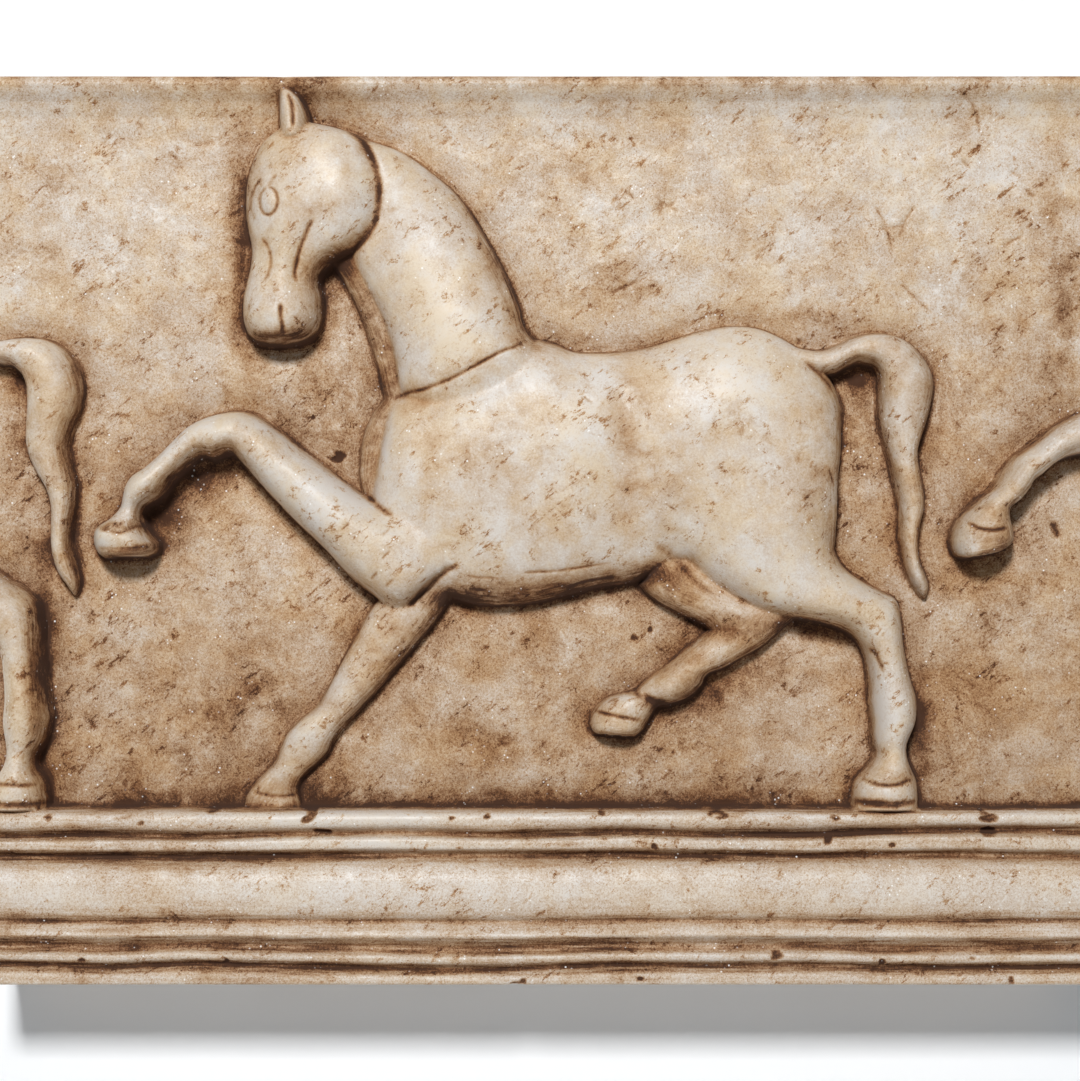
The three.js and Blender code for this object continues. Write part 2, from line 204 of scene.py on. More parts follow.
# Lines cut with the point: width and depth in millimetres, then x and y of each point on the path
CUT_LINES = (
    (0.9, 0.4, 276, 176, 271, 183, 270, 187),
    (1.1, 0.45, 262, 177, 254, 186, 250, 196, 249, 206, 251, 213, 253, 218),
    (1.1, 0.5, 262, 237, 268, 247, 271, 258, 270, 268, 267, 277, 262, 284),
    (1.3, 0.7, 314, 221, 309, 229, 304, 240, 300, 250, 297, 260, 295, 270, 295, 278, 298, 283),
    (1.5, 0.9, 282, 306, 282, 317, 283, 326, 284, 336), (1.1, 0.5, 249, 303, 248, 310, 247, 315),
    (1.5, 1.0, 287, 93, 290, 100, 292, 108, 293, 120, 293, 130),
    (1.2, 0.7, 392, 397, 408, 391, 422, 389, 450, 379, 475, 366, 500, 352, 515, 346, 526, 339),
    (1.4, 0.6, 97, 529, 108, 530, 118, 533, 126, 531, 133, 528, 143, 523),
    (1.2, 0.5, 98, 548, 120, 549, 152, 545), (1.3, 0.8, 866, 781, 880, 785, 895, 785, 905, 782, 915, 779),
    (2.4, 1.3, 860, 803, 880, 804, 900, 804, 918, 803), (1.2, 0.7, 597, 713, 612, 716, 628, 719, 643, 722),
    (1.2, 0.5, 250, 796, 265, 799, 280, 800, 298, 797),
    (1.3, 0.7, 969, 522, 978, 528, 990, 530, 1000, 529, 1010, 527), (1.3, 0.7, -10, 784, 15, 785, 36, 786),
    (2.2, 1.2, -10, 805, 15, 805, 44, 805),
    (1.8, 1.0, 409, 606, 417, 597, 426, 588, 438, 577, 449, 569, 458, 565),
    (1.7, 0.7, 366, 496, 376, 505, 386, 512, 394, 517),
    (1.9, 0.9, 347, 128, 360, 137, 371, 153, 377.5, 175, 379, 198, 375, 220, 364, 238, 348, 250, 333, 259),
    (1.9, 1.0, 645, 697, 653, 702, 661, 704, 669, 705), (1.6, 0.6, 634, 691, 639, 696, 645, 701),
    (2.8, 0.5, 658, 546, 670, 553, 684, 566, 700, 584, 722, 600),
    (1.6, 0.6, 808, 362, 818, 370, 828, 379, 836, 390),
)
EYE = ((269, 201.5), 9.5, 13.7)

# Scratches and cracks of the field and body, which hold dirt, given in the same way
MARKS = (
    (1.0, 0.35, 657, 207, 664, 199, 671, 203, 678, 195), (0.9, 0.35, 664, 199, 660, 212),
    (0.9, 0.35, 525, 572, 560, 570, 612, 562), (0.9, 0.35, 568, 588, 590, 580, 630, 577),
    (0.9, 0.3, 671, 203, 680, 208), (0.9, 0.3, 884, 226, 912, 222), (0.9, 0.3, 1008, 243, 1028, 232),
    (0.9, 0.3, 470, 588, 488, 590), (0.9, 0.3, 540, 596, 575, 590),
    (1.0, 0.3, 879, 205, 886, 216, 892, 232, 896, 249), (1.0, 0.3, 918, 203, 909, 218, 902, 236),
    (1.0, 0.3, 134, 118, 141, 127), (1.0, 0.3, 166, 150, 175, 156), (1.0, 0.3, 1016, 168, 1025, 173),
    (0.8, 0.3, 905, 282, 920, 296, 936, 312), (0.8, 0.3, 345, 530, 353, 522),
    (0.8, 0.3, 385, 535, 392, 528), (0.8, 0.3, 385, 558, 393, 550), (0.8, 0.3, 373, 578, 380, 571),
    (0.8, 0.3, 388, 585, 396, 578), (1.3, 0.35, 612, 290, 645, 275),
    (1.4, 0.3, 965, 92, 978, 108, 986, 134), (0.7, 0.25, 583, 398, 592, 405),
    (0.7, 0.25, 758, 480, 770, 490), (0.7, 0.25, 664, 504, 676, 512), (0.7, 0.3, 826, 470, 832, 488),
    (0.8, 0.25, 468, 576, 500, 578), (1.4, 0.5, 868, 645, 875, 656, 881, 672),
    (1.1, 0.35, 626, 188, 637, 196), (1.4, 0.2, 190, 142, 212, 138), (1.4, 0.2, 775, 792, 775, 806),
    (1.1, 0.3, 1030, 186, 1040, 195), (1.1, 0.3, 966, 157, 974, 164), (2.2, 0.5, 1058, 522, 1064, 538),
    (0.6, 0.2, 296, 318, 303, 326),
)
# Chips: middle (x, y), half length and half height in view units, depth in millimetres, turn in degrees
CHIPS = (
    (307, 818, 12, 5, 2.0, 38), (987, 817, 12, 5, 1.8, -12), (718, 815, 11, 4, 1.0, 0),
    (655, 847, 4, 4, 1.0, 0), (828, 840, 6, 4, 1.2, 40), (892, 845, 4, 3, 0.7, 0), (602, 814, 5, 3, 0.7, 0),
    (85, 958, 5, 3, 0.8, 0), (226, 958, 5, 4, 0.9, 0), (518, 980, 8, 5, 1.3, 20), (880, 960, 5, 4, 0.9, 0),
    (140, 824, 5, 3, 0.7, 30), (48, 818, 5, 5, 0.9, 50), (452, 818, 6, 3, 0.7, 0),
    (487, 817, 5, 3, 0.6, 20), (210, 812, 8, 3, 0.8, 0), (775, 953, 7, 5, 0.9, 0),
    (1008, 978, 4, 5, 0.8, 0), (970, 955, 4, 3, 0.6, 0), (835, 818, 6, 3, 0.5, 0), (335, 455, 9, 7, 0.8, 0),
    (805, 338, 6, 4, 0.8, 0), (694, 622, 4, 3, 0.6, 0), (652, 632, 4, 4, 0.6, 0), (636, 640, 5, 4, 0.6, 0),
    (252, 400, 3, 3, 0.5, 0), (308, 415, 3, 3, 0.5, 0), (990, 832, 9, 5, 1.0, 0),
    (320, 832, 16, 3, 0.6, -8), (640, 975, 4, 3, 0.6, 0),
)
# Stains that lie on the stone, with some painted shadows and painted highlights among them: middle (x, y),
# half axes in view units, strength, turn in degrees
STAINS_AND_PAINTED_LIGHT = (
    (350, 178, 5, 18, 0.22, 8), (334, 212, 24, 6, 0.22, 12), (540, 588, 110, 14, 0.44, 0),
    (640, 572, 60, 12, 0.35, 8), (470, 600, 60, 9, 0.35, 0), (280, 338, 40, 8, 0.3, 0),
    (239, 238, 11, 100, 0.5, 0), (1064, 280, 24, 105, 0.34, 0), (330, 300, 12, 40, 0.2, 20),
    (450, 374, 76, 8, 0.2, 24), (463, 385, 58, 7, 0.13, 24), (620, 280, 60, 22, 0.16, 8),
    (820, 315, 40, 12, 0.25, 0), (560, 342, 42, 11, 0.36, 0), (975, 112, 16, 30, 0.2, -15),
    (900, 225, 26, 26, 0.1, 0), (430, 420, 18, 60, 0.14, 5), (690, 600, 60, 14, 0.16, -28),
    (415, 640, 30, 60, 0.14, -40), (250, 700, 30, 60, 0.18, -40), (150, 800, 60, 10, 0.25, 0),
    (600, 800, 260, 8, 0.2, 0), (980, 640, 30, 120, 0.1, 0), (185, 500, 60, 25, 0.18, 30),
    (740, 690, 90, 20, 0.16, 20), (320, 430, 50, 14, 0.28, -36), (860, 440, 16, 70, 0.24, 0),
    (15, 440, 16, 70, 0.2, 0), (862, 378, 20, 9, 0.5, 0), (15, 380, 18, 10, 0.45, 0),
    (338, 268, 14, 18, 0.55, -30), (325, 792, 34, 16, 0.3, 0), (272, 794, 36, 14, 0.25, 0),
    # Painted shadow and shade on these two lines: (132, 550) on the raised hoof's sole, (205, 474) under the
    # raised foreleg, (160, 514) right of its pastern and (925, 735) right of the near hind leg; the others
    # are real stain.
    (122, 526, 25, 3.5, 0.6, 0), (132, 550, 28, 5, 0.5, 9), (205, 474, 46, 18, 0.36, 30),
    (160, 514, 14, 12, 0.32, 0), (925, 735, 9, 40, 0.4, 0), (890, 776, 26, 7, 0.28, 0),
    (285, 338, 34, 7, 0.22, 0), (503, 285, 12, 66, 0.3, 27), (665, 570, 26, 12, 0.2, -35),
    (810, 630, 50, 10, 0.35, -14), (455, 598, 24, 8, 0.3, 0), (740, 632, 40, 12, 0.18, 0),
    (40, 660, 8, 120, 0.3, 0), (1000, 540, 20, 10, 0.15, 0), (340, 402, 44, 46, 0.24, 0),
    (45, 560, 40, 60, 0.14, 0), (300, 90, 70, 12, 0.16, 0), (740, 84, 180, 8, 0.12, 0),
    # The negative strengths on these three lines are painted highlights: lighter patches on rump, neck,
    # barrel, cheek, shoulder and knee.
    (985, 350, 50, 160, 0.1, 0), (700, 660, 40, 50, 0.12, 0), (740, 395, 45, 45, -0.14, 0),
    (425, 275, 14, 75, -0.14, 20), (578, 420, 26, 70, -0.14, 0), (325, 175, 34, 26, -0.1, 0),
    (470, 415, 30, 18, -0.1, 20), (213, 430, 26, 10, -0.1, 0), (370, 165, 6, 32, 0.38, 18),
    (354, 243, 30, 7, 0.38, 41), (625, 440, 13, 90, 0.22, 0), (505, 460, 32, 36, 0.12, 0),
    (655, 500, 30, 34, 0.13, 0), (800, 500, 20, 40, 0.1, 0), (820, 450, 12, 70, 0.2, 0),
    (305, 300, 12, 26, 0.14, 0), (655, 704, 14, 5, 0.4, -10),
)

# Section of lip, field and mouldings in the front view: y, how far forward of the field in millimetres, and
# how much stain lies there
SECTION = (
    (60, 5.0, 0.26), (74, 7.4, 0.38), (79, 7.8, 0.22), (84, 7.9, 0.12), (92, 6.6, 0.05), (102, 4.0, 0.0),
    (118, 1.7, 0.0), (140, 0.5, 0.0), (180, 0.0, 0.0), (300, -0.2, 0.0), (600, -0.4, 0.0),
    (780, -0.2, 0.05), (797, -0.1, 0.12), (803, 0.0, 0.2), (805.4, 0.4, 0.5), (810.2, 11.5, 0.62),
    (812.5, 13.0, 0.42), (815.5, 14.0, 0.2), (820, 14.5, 0.14), (825, 14.3, 0.18), (829, 13.3, 0.36),
    (831, 11.8, 0.5), (834, 10.6, 0.56), (836.5, 11.6, 0.46), (838.5, 14.2, 0.3), (841, 15.0, 0.17),
    (848, 15.1, 0.2), (850, 14.5, 0.42), (852, 12.2, 0.54), (855, 11.4, 0.6), (858, 12.4, 0.5),
    (861, 14.4, 0.34), (865, 15.9, 0.24), (872, 17.2, 0.1), (880, 18.2, 0.03), (895, 19.0, 0.02),
    (904, 19.1, 0.1), (910, 18.8, 0.18), (914, 18.4, 0.3), (917.5, 17.5, 0.42), (919.5, 16.3, 0.52),
    (921.5, 16.3, 0.44), (924, 17.4, 0.32), (930, 18.6, 0.26), (934.5, 19.5, 0.18), (937, 19.2, 0.42),
    (940, 17.4, 0.48), (944.5, 15.8, 0.54), (949, 16.2, 0.48), (952, 17.6, 0.46), (954, 18.8, 0.24),
    (956, 19.1, 0.16), (960, 18.9, 0.22), (962, 18.0, 0.46), (964, 16.2, 0.58), (967, 16.0, 0.62),
    (969.5, 17.7, 0.44), (971, 18.8, 0.56), (972, 18.2, 0.5), (974, 19.2, 0.24), (978, 19.5, 0.18),
    (984, 19.5, 0.24), (989, 19.0, 0.36),
)
# How far the mouldings wander from the straight along the length: x, then the shift at the bead, the upper
# fillet and the lowest groove, in view units
DRIFT = (
    (0, 2, 1, -2), (120, 0, 1, 1), (200, 2, 1, -3), (300, -1, 0, 0), (400, -2, -1, 2), (500, 1, 0, 3),
    (620, -3, -1, -1), (700, 0, 0, -1), (800, -1, 1, -1), (870, -3, 0, 1), (950, -5, -1, 2),
    (1080, -4, 1, 0),
)
DRIFT_ROWS = (829, 850, 966)
# Heights in metres where the mouldings' finish gives way to the field's
MOULDED, FIELD = -0.0935, -0.0925


def view_to_mm(x, y, proud=0.0):
    """A point of the front view on a surface that stands so far forward of the field."""
    nearer = (VIEW_DISTANCE - proud) * VIEW_UNIT / VIEW_DISTANCE
    return (x - VIEW_MIDDLE[0]) * nearer, EYE_LEVEL + (VIEW_MIDDLE[1] - y) * nearer


def smooth_path(points, steps):
    """A smooth curve through the points, with so many steps from each to the next."""
    points = np.asarray(points, float)
    ends = np.vstack([2 * points[0] - points[1], points, 2 * points[-1] - points[-2]])
    share = np.linspace(0, 1, steps, endpoint=False)[:, None]
    runs = []
    for a, b, c, d in zip(ends[:-3], ends[1:-2], ends[2:-1], ends[3:]):
        runs.append(0.5 * (2 * b + (c - a) * share + (2 * a - 5 * b + 4 * c - d) * share**2
                           + (3 * b - a - 3 * c + d) * share**3))
    return np.vstack(runs + [points[-1:]])


def blur(field, radius):
    """Gaussian blur with a radius in cells."""
    reach = max(1, int(math.ceil(3 * radius)))
    weights = np.exp(-0.5 * (np.arange(-reach, reach + 1) / radius) ** 2)
    weights /= weights.sum()
    for axis in (0, 1):
        padded = np.pad(field, [(reach, reach) if i == axis else (0, 0) for i in (0, 1)], mode="edge")
        total = np.zeros_like(field)
        for i, weight in enumerate(weights):
            cut = [slice(None), slice(None)]
            cut[axis] = slice(i, i + field.shape[axis])
            total += weight * padded[tuple(cut)]
        field = total
    return field


def coarse(field, step, radius):
    """A wide blur, worked on every step-th cell and spread back."""
    small = blur(field[::step, ::step], radius / step)
    rows = np.clip(np.arange(field.shape[0]) / step, 0, small.shape[0] - 1.001)
    cols = np.clip(np.arange(field.shape[1]) / step, 0, small.shape[1] - 1.001)
    return lookup(small, rows[:, None], cols[None, :])


def lookup(field, row, col):
    """Values between the cells of a field."""
    r0 = np.clip(row.astype(int), 0, field.shape[0] - 2)
    c0 = np.clip(col.astype(int), 0, field.shape[1] - 2)
    fr, fc = np.clip(row - r0, 0, 1), np.clip(col - c0, 0, 1)
    top = field[r0, c0] * (1 - fc) + field[r0, c0 + 1] * fc
    low = field[r0 + 1, c0] * (1 - fc) + field[r0 + 1, c0 + 1] * fc
    return top * (1 - fr) + low * fr


def soft_join(a, b, width):
    """The higher of two surfaces, with the valley between them filled over a width."""
    near = np.maximum(width - np.abs(a - b), 0) / width
    return np.maximum(a, b) + near**2 * width / 4


def wander(rng, shape, cells):
    """Smooth noise from -1 to 1 with lumps of so many cells."""
    lumps = rng.uniform(-1, 1, [int(n / size) + 4 for n, size in zip(shape, cells)])
    places = [np.arange(n) / size + 1 for n, size in zip(shape, cells)]
    row, col = (place // 1 + (place % 1) ** 2 * (3 - 2 * (place % 1)) for place in places)
    return lookup(lumps, row[:, None], col[None, :])


class Relief:
    """The carved front as heights over the front view, with what the finish needs to know of it."""

    def __init__(self, cell, seed):
        self.cell = cell
        self.rng = np.random.default_rng(seed)
        self.xs = np.linspace(-WIDTH / 2, WIDTH / 2, int(round(WIDTH / cell)) + 1)
        self.zs = np.linspace(-HEIGHT / 2, HEIGHT / 2, int(round(HEIGHT / cell)) + 1)
        self.shape = (len(self.zs), len(self.xs))
        self.ledge = view_to_mm(0, 805.5)[1]
        self.above_ledge = np.repeat(self.zs[:, None] > self.ledge, self.shape[1], 1)
        self.figure = np.zeros(self.shape)
        self.cuts = np.zeros(self.shape)
        self.marks = np.zeros(self.shape)

    def row_col(self, x, z):
        return (z / HEIGHT + 0.5) * (self.shape[0] - 1), (x / WIDTH + 0.5) * (self.shape[1] - 1)

    def window(self, rows, cols, margin=0):
        r0 = max(0, int(math.floor(rows.min())) - margin)
        r1 = min(self.shape[0], int(math.ceil(rows.max())) + 1 + margin)
        c0 = max(0, int(math.floor(cols.min())) - margin)
        c1 = min(self.shape[1], int(math.ceil(cols.max())) + 1 + margin)
        return (slice(r0, r1), slice(c0, c1)) if r0 < r1 and c0 < c1 else None

    def ridge(self, stations, join, fullness=2.3):
        """Cuts one ridge: across each station the crown falls to both edges as a full round."""
        dense = smooth_path(stations, 24)
        proud = np.maximum(dense[:, 4], 0.5)
        first = np.stack(self.row_col(*view_to_mm(dense[:, 0], dense[:, 1], proud / 2)), 1)
        second = np.stack(self.row_col(*view_to_mm(dense[:, 2], dense[:, 3], proud / 2)), 1)
        layer = np.zeros(self.shape)
        for i in range(len(dense) - 1):
            corners = np.array([first[i], second[i], second[i + 1], first[i + 1]])
            cut = self.window(corners[:, 0], corners[:, 1], 1)
            if cut is None:
                continue
            rows = np.arange(cut[0].start, cut[0].stop)[:, None]
            cols = np.arange(cut[1].start, cut[1].stop)[None, :]
            for picks in ((0, 1, 2), (0, 2, 3)):
                a, b, c = corners[list(picks)]
                area = (b[0] - a[0]) * (c[1] - a[1]) - (b[1] - a[1]) * (c[0] - a[0])
                if abs(area) < 1e-9:
                    continue
                u = ((rows - a[0]) * (c[1] - a[1]) - (cols - a[1]) * (c[0] - a[0])) / area
                v = ((b[0] - a[0]) * (cols - a[1]) - (b[1] - a[1]) * (rows - a[0])) / area
                inside = (u > -0.02) & (v > -0.02) & (u + v < 1.02)
                side = np.array([-1.0, 1.0, 1.0, -1.0])[list(picks)]
                crown = np.array([proud[i], proud[i], proud[i + 1], proud[i + 1]])[list(picks)]
                across = side[0] * (1 - u - v) + side[1] * u + side[2] * v
                height = crown[0] * (1 - u - v) + crown[1] * u + crown[2] * v
                fall = np.maximum(1 - np.abs(np.clip(across, -1, 1)) ** fullness, 0) ** (1 / fullness)
                layer[cut] = np.maximum(layer[cut], np.where(inside, height * fall, 0))
        self.figure = np.where(layer > 0, soft_join(self.figure, layer, join), self.figure)

    def distance_to(self, path, cut):
        """Distance in millimetres from a window's cells to a path, and how far along the nearest point is."""
        z = self.zs[cut[0]][:, None]
        x = self.xs[cut[1]][None, :]
        best = np.full((z.shape[0], x.shape[1]), 1e9)
        along = np.zeros_like(best)
        for i, ((x0, z0), (x1, z1)) in enumerate(zip(path[:-1], path[1:])):
            dx, dz = x1 - x0, z1 - z0
            share = np.clip(((x - x0) * dx + (z - z0) * dz) / (dx * dx + dz * dz + 1e-12), 0, 1)
            away = np.hypot(x - x0 - share * dx, z - z0 - share * dz)
            along = np.where(away < best, (i + share) / (len(path) - 1), along)
            best = np.minimum(best, away)
        return best, along

    def line(self, into, points, width, depth, proud=15.0):
        """Cuts one round-bottomed line along a path of the front view, shallower towards its far end."""
        dense = smooth_path(np.reshape(points, (-1, 2)), 6)
        path = np.stack(view_to_mm(dense[:, 0], dense[:, 1], proud), 1)
        rows, cols = self.row_col(path[:, 0], path[:, 1])
        cut = self.window(rows, cols, int(3 * width / self.cell))
        if cut is None:
            return
        away, along = self.distance_to(path, cut)
        fade = np.sqrt(np.clip(np.minimum(12 * along + 0.3, 4 * (1 - along)), 0, 1))
        groove = fade * np.exp(-(away / (0.5 * width * (0.5 + 0.5 * fade))) ** 2)
        into[cut] = np.maximum(into[cut], depth * groove)

    def swell(self, place, height, turn, proud=15.0):
        """A soft boss of this height on the front view, or a dip if the height is negative."""
        x0, z0 = view_to_mm(place[0], place[1], proud)
        dx, dz = self.xs[None, :] - x0, self.zs[:, None] - z0
        ca, sa = math.cos(math.radians(turn)), math.sin(math.radians(turn))
        across = (dx * ca + dz * sa) / (place[2] * VIEW_UNIT)
        along = (dz * ca - dx * sa) / (place[3] * VIEW_UNIT)
        return height * np.exp(-(across**2 + along**2))

    def away_from(self, mask):
        """Distance in millimetres from every cell to the nearest one in the mask."""
        rows, cols = np.indices(self.shape)
        near_row = np.where(mask, rows, -10**6).astype(float)
        near_col = np.where(mask, cols, -10**6).astype(float)
        step = 256
        while step >= 1:
            for dr in (-step, 0, step):
                for dc in (-step, 0, step):
                    if dr == dc == 0:
                        continue
                    to_r = slice(max(0, dr), self.shape[0] + min(0, dr))
                    to_c = slice(max(0, dc), self.shape[1] + min(0, dc))
                    from_r = slice(max(0, -dr), self.shape[0] + min(0, -dr))
                    from_c = slice(max(0, -dc), self.shape[1] + min(0, -dc))
                    cand_r, cand_c = near_row[from_r, from_c], near_col[from_r, from_c]
                    here_r, here_c = rows[to_r, to_c], cols[to_r, to_c]
                    old = (near_row[to_r, to_c] - here_r) ** 2 + (near_col[to_r, to_c] - here_c) ** 2
                    new = (cand_r - here_r) ** 2 + (cand_c - here_c) ** 2
                    better = new < old
                    near_row[to_r, to_c] = np.where(better, cand_r, near_row[to_r, to_c])
                    near_col[to_r, to_c] = np.where(better, cand_c, near_col[to_r, to_c])
            step //= 2
        return np.hypot(near_row - rows, near_col - cols) * self.cell

    def carve_figure(self):
        self.toned = np.zeros(self.shape)
        for stations, join, stain in RIDGES:
            before = self.figure.copy()
            self.ridge(stations, join)
            self.toned = np.where(self.figure > before + 0.01, stain, self.toned)
        on = self.figure > 0.05
        for *place, height, turn in SWELLS:
            self.figure += np.where(on, self.swell(place, height, turn), 0)
        for width, depth, *path in CUT_LINES:
            self.line(self.cuts, path, width, depth)
        self.eye()
        self.figure *= self.above_ledge

    def eye(self):
        """The eye: a low ball inside a cut ring."""
        middle, half_width, half_height = EYE
        turns = np.linspace(0, 2 * math.pi, 24)
        ring = np.stack([middle[0] + half_width * np.sin(turns), middle[1] - half_height * np.cos(turns)], 1)
        self.line(self.cuts, ring, 0.9, 0.7)

    def carve_ground(self):
        """Lip, field and mouldings, with the wander of hand work."""
        forward = np.array([f for _, f, _ in SECTION], float)
        stain = np.array([s for _, _, s in SECTION], float)
        level = np.array([view_to_mm(0, row, max(f, 0))[1] for row, f, _ in SECTION])
        order = np.argsort(level)
        drift_x = view_to_mm(np.array([d[0] for d in DRIFT], float), 0)[0]
        drift_z = [view_to_mm(0, row, 15)[1] for row in DRIFT_ROWS]
        shifts = [np.interp(self.xs, drift_x, [d[k] * VIEW_UNIT for d in DRIFT]) for k in (1, 2, 3)]
        z = np.repeat(self.zs[:, None], self.shape[1], 1)
        shift = np.zeros(self.shape)
        bead, fillet, groove = drift_z
        stops = [HEIGHT, self.ledge, bead, fillet, (fillet + groove) / 2, groove, -HEIGHT / 2]
        values = [share * shifts[k] for share, k in zip((0, 0, 1, 1, 0.3, 1, 0.4), (0, 0, 0, 1, 1, 2, 2))]
        for upper, lower, at_upper, at_lower in zip(stops[:-1], stops[1:], values[:-1], values[1:]):
            share = (upper - z) / (upper - lower)
            between = (share >= 0) & (share <= 1)
            shift = np.where(between, at_upper * (1 - share) + at_lower * share, shift)
        straight = z + shift + 0.12 * wander(self.rng, self.shape, (12, 60))
        self.section_stain = np.interp(straight.ravel(), level[order], stain[order]).reshape(self.shape)
        return np.interp(straight.ravel(), level[order], forward[order]).reshape(self.shape)

    def carve_marks(self):
        """Scratches and chips, which go into figure, field and mouldings alike."""
        for width, depth, *path in MARKS:
            self.line(self.marks, path, width, depth, 8.0)
        ragged = wander(self.rng, self.shape, (4, 5))
        for *place, depth, turn in CHIPS:
            pit = self.swell(place, 1.0, turn) * (1 + 0.7 * ragged)
            self.marks = np.maximum(self.marks, depth * np.clip(2.2 * (pit - 0.35), 0, 1))

    def carve(self):
        self.carve_figure()
        ground = self.carve_ground()
        self.carve_marks()
        on_figure = self.figure > 0.3
        self.figure_mask = on_figure & self.above_ledge
        self.away = self.away_from(self.figure_mask)
        self.inside = self.away_from(~self.figure_mask & self.above_ledge)
        field = self.above_ledge & ~self.figure_mask
        scoop = 0.9 * np.exp(-((self.away - 1.0) / 5.0) ** 2) + 0.35 * np.exp(-(self.away / 14.0) ** 2)
        lumps = sum(rise * wander(self.rng, self.shape, cells)
                    for rise, cells in ((0.28, (60, 80)), (0.16, (24, 30)), (0.07, (9, 12))))
        ground = ground + np.where(self.above_ledge, lumps - np.where(field, scoop, 0), 0.25 * lumps)
        figure = self.figure - np.where(on_figure, self.cuts, 0)
        height = np.where(on_figure, np.maximum(figure, ground), ground)
        height = blur(height, 0.32 / self.cell) - self.marks
        self.height = np.minimum(height, PROUDEST - 0.05)
        self.round_edges()

    def round_edges(self):
        """Takes the arris off the top edge and eases the others."""
        for distance, radius in (
            (HEIGHT / 2 - self.zs[:, None], 3.2), (self.zs[:, None] + HEIGHT / 2, 0.8),
            (WIDTH / 2 - self.xs[None, :], 0.5), (self.xs[None, :] + WIDTH / 2, 0.5),
        ):
            inner = np.clip(1 - distance / radius, 0, 1)
            self.height = self.height - radius * (1 - np.sqrt(1 - inner**2 + 1e-9))

    def stains_and_painted_light(self):
        """What the finish reads: hollows with dirt and painted shade, seams with dirt and painted crease
        shade, worn crests with a painted highlight, painted shade where the stone faces away from the light,
        stain with painted shadows and highlights, and the distance to the outline.
        """
        height = self.height
        wide = coarse(height, 4, 3.2 / self.cell) - height
        mid = blur(height, 1.3 / self.cell) - height
        fine = blur(height, 0.55 / self.cell) - height
        rise, run = np.gradient(blur(height, 1.0 / self.cell), self.zs, self.xs)
        away_up, away_right = np.gradient(blur(self.away, 1.0 / self.cell), self.zs, self.xs)
        lit = np.clip(0.35 + 0.65 * away_up - 0.35 * away_right, 0, 1)
        lit *= ~self.figure_mask * self.above_ledge
        # Stain, together with the painted shadows and painted highlights of the table.
        laid_stain_and_light = np.zeros(self.shape)
        for *place, strength, turn in STAINS_AND_PAINTED_LIGHT:
            laid_stain_and_light += self.swell(place, strength, turn, 8.0)
        section = np.where(self.figure_mask, blur(self.toned, 0.8 / self.cell), self.section_stain)
        lines = self.cuts * self.figure_mask
        # Painted shade in the creases at the foot of the walls, lessened on the side facing the light; the
        # cut lines and marks add real dirt.
        crease_shade = np.clip(fine, 0, 0.34) * (1 - 0.8 * lit)
        # Painted shade: darker where the figure faces down or to the right, away from the key light, and on
        # the field on its side away from the light.
        underside = np.clip(0.20 + 0.50 * rise - 0.50 * run, 0, 1)
        # Dirt in the hollows, with painted shade: lessened where the field faces the light.
        sunk = np.maximum(0.035 * wide + 0.10 * mid, 0)
        return {
            "hollow_dirt_and_shade": (1 - np.exp(-1.1 * sunk)) * (1 - 0.7 * lit),
            "seam_dirt_and_crease_shade": np.clip(crease_shade + 1.1 * lines + 1.7 * self.marks, 0, 1),
            # Lighter on convex crests: wear, and a painted highlight in place of the sheen.
            "crest_wear_and_sheen": np.clip(-0.30 * mid - 0.10 * wide, 0, 1),
            "painted_facing_shade": np.where(self.figure_mask, underside, 1 - 0.75 * lit),
            "figure": blur(self.figure_mask.astype(float), 0.5 / self.cell),
            "outline": np.where(self.figure_mask, -self.inside, self.away) * self.above_ledge
            + 60.0 * ~self.above_ledge,
            "laid_stain_and_light": laid_stain_and_light + section,
        }


def front_mesh(relief):
    """The carved front, closed by the sawn ends, top, underside and back."""
    rows, cols = relief.shape
    z = np.repeat(relief.zs[:, None], cols, 1)
    x = np.repeat(relief.xs[None, :], rows, 0)
    front = np.stack([x, -(SLAB + relief.height), z], -1).reshape(-1, 3)
    index = np.arange(rows * cols).reshape(rows, cols)
    quads = np.stack([index[:-1, :-1], index[:-1, 1:], index[1:, 1:], index[1:, :-1]], -1).reshape(-1, 4)
    border = np.concatenate([index[0, :-1], index[:-1, -1], index[-1, :0:-1], index[:0:-1, 0]])
    back = front[border] * [1, 0, 1]
    ring = np.arange(len(border)) + len(front)
    ahead = np.roll(np.arange(len(border)), -1)
    sides = np.stack([border, ring, ring[ahead], border[ahead]], -1)
    mesh = bpy.data.meshes.new("relief_plaque_marble")
    points = np.vstack([front, back]) * MM
    faces = np.vstack([quads, sides])
    mesh.vertices.add(len(points))
    mesh.vertices.foreach_set("co", points.ravel())
    mesh.loops.add(len(faces) * 4 + len(ring))
    loops = np.concatenate([faces.ravel(), ring[::-1]])
    mesh.loops.foreach_set("vertex_index", loops.astype(np.int32))
    mesh.polygons.add(len(faces) + 1)
    mesh.polygons.foreach_set("loop_start", (np.arange(len(faces) + 1) * 4).astype(np.int32))
    mesh.update(calc_edges=True)
    mesh.validate()
    return mesh


